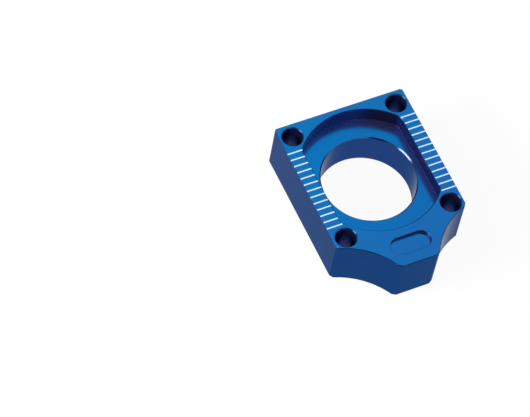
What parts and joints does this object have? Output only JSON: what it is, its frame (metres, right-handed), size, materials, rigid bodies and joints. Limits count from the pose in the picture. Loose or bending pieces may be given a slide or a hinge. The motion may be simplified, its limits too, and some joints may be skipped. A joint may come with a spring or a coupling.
{
  "type": "motorcycle chain adjuster block",
  "caption": "Blue anodised axle block with a through bore, a flat-sided head pocket, corner holes, side scales and a nose that an adjuster bolt pushes on.",
  "frame": {"origin": "on the axle's centre line, in the plane of the back face", "axes": "+Z along the axle, from the back face out of the pocketed face; +Y along the block from the nose to the straight end; X across the two straight sides"},
  "size_m": [0.037, 0.0493, 0.0145],
  "materials": {
    "blue_anodised": "satin blue anodised, milled from bar"
  },
  "bodies": {
    "root": {"axle_block": "blue_anodised"}
  },
  "joints": []
}
